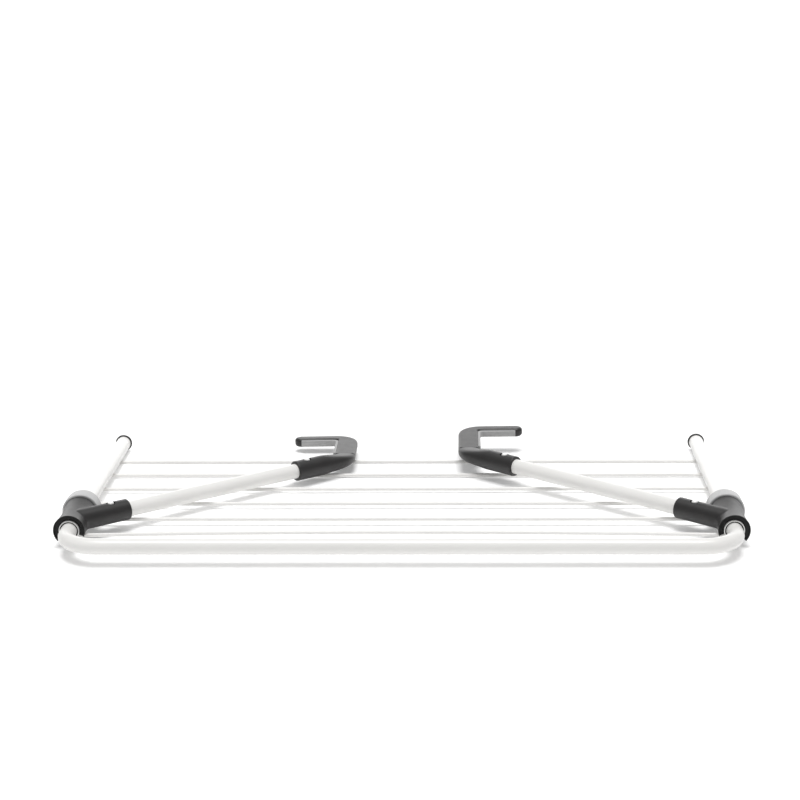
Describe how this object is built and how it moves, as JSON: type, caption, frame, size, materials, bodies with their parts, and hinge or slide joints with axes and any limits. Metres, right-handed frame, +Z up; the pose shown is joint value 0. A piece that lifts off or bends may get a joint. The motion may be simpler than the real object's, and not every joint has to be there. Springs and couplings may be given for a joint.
{
  "type": "hang-over drying rack",
  "caption": "Folding drying rack that hangs from a door or rim: a U-shaped tube frame with straight rods and two swinging arms that end in lined hooks",
  "frame": {"origin": "middle of the rack's footprint, at the height of its lowest point", "axes": "+X to the right along the front bar, +Y to the rear, towards the open ends of the frame and the hooks' tips, +Z up with the frame level and the arms folded on top"},
  "size_m": [0.697, 0.373, 0.0363],
  "materials": {
    "white_coat": "warm white powder coat, satin",
    "dark_plastic": "moulded charcoal plastic, fine matte grain",
    "black_plastic": "moulded black plastic",
    "pale_plastic": "smooth pale low-friction plastic",
    "grey_plastic": "moulded light grey plastic",
    "white_plastic": "moulded white plastic",
    "pad_rubber": "soft grey rubber"
  },
  "bodies": {
    "frame": {"frame_tube": "white_coat", "rod_1": "white_coat", "rod_2": "white_coat", "rod_3": "white_coat", "rod_4": "white_coat", "rod_5": "white_coat", "rod_6": "white_coat", "left_end_cap": "dark_plastic", "left_pivot_bush": "pale_plastic", "left_stop_collar": "grey_plastic", "right_end_cap": "dark_plastic", "right_pivot_bush": "pale_plastic", "right_stop_collar": "grey_plastic"},
    "left_arm": {"left_knuckle": "dark_plastic", "left_mouth_ring": "black_plastic", "left_arm_tube": "white_coat", "left_hook": "dark_plastic", "left_hook_pad": "pad_rubber", "left_knuckle_peg": "white_plastic", "left_hook_peg": "white_plastic"},
    "right_arm": {"right_knuckle": "dark_plastic", "right_mouth_ring": "black_plastic", "right_arm_tube": "white_coat", "right_hook": "dark_plastic", "right_hook_pad": "pad_rubber", "right_knuckle_peg": "white_plastic", "right_hook_peg": "white_plastic"}
  },
  "joints": [
    {"name": "left_arm_swing", "type": "hinge", "parent": "frame", "child": "left_arm", "pos_m": [-0.3295, 0, 0.016], "axis": [0, -1, 0], "range_deg": [0, 90]},
    {"name": "right_arm_swing", "type": "hinge", "parent": "frame", "child": "right_arm", "pos_m": [0.3295, 0, 0.016], "axis": [0, 1, 0], "range_deg": [-1.35, 88.65]}
  ]
}
